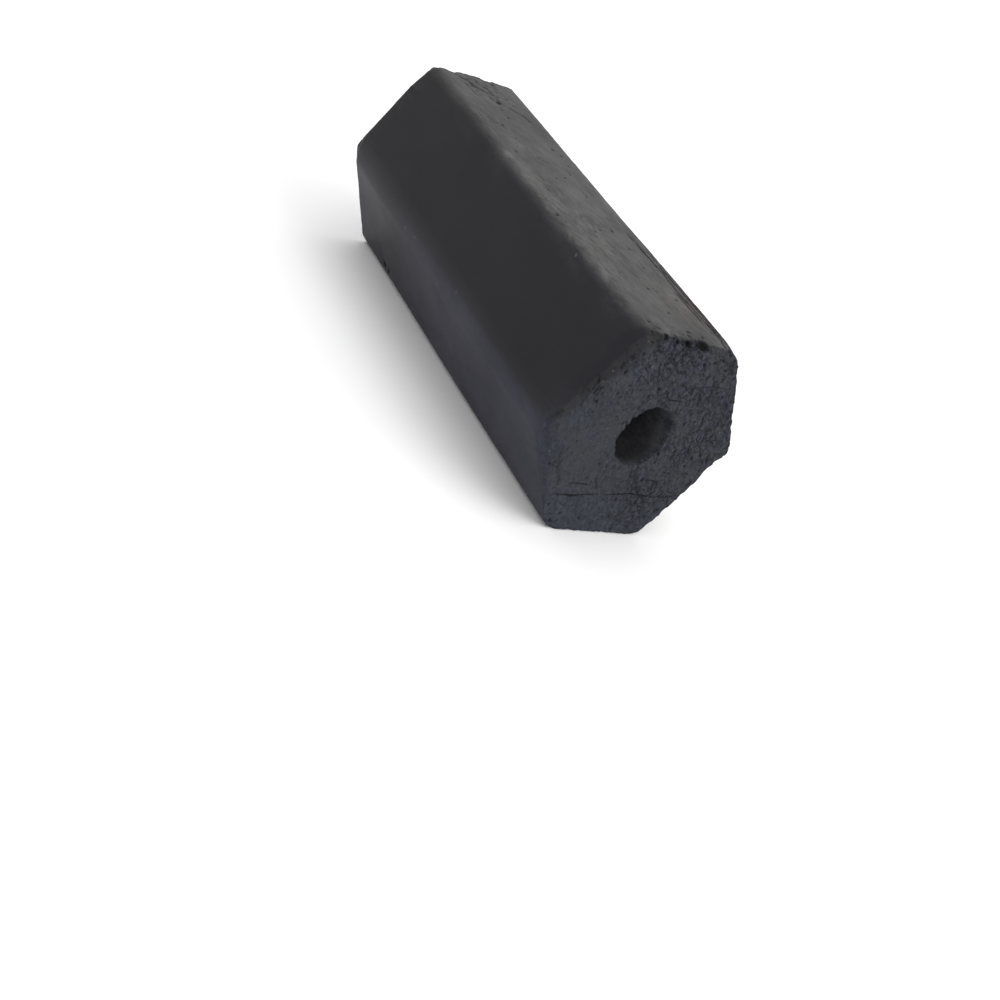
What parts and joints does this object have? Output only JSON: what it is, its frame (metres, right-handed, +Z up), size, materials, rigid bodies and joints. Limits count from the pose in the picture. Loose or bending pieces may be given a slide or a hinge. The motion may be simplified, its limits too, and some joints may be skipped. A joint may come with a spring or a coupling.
{
  "type": "charcoal briquette",
  "caption": "Extruded hexagonal charcoal briquette with a round draught hole along its length, for barbecues, stoves and braziers.",
  "frame": {"origin": "middle of the footprint, on the surface that the briquette lies on", "axes": "+Z up, with the briquette lying on one of its six flat sides; its long axis and draught hole run along Y"},
  "size_m": [0.0498, 0.1108, 0.045],
  "materials": {
    "charcoal": "matt, carbonised pressed sawdust, dark grey with a dull sheen"
  },
  "bodies": {
    "root": {"briquette": "charcoal"}
  },
  "joints": []
}
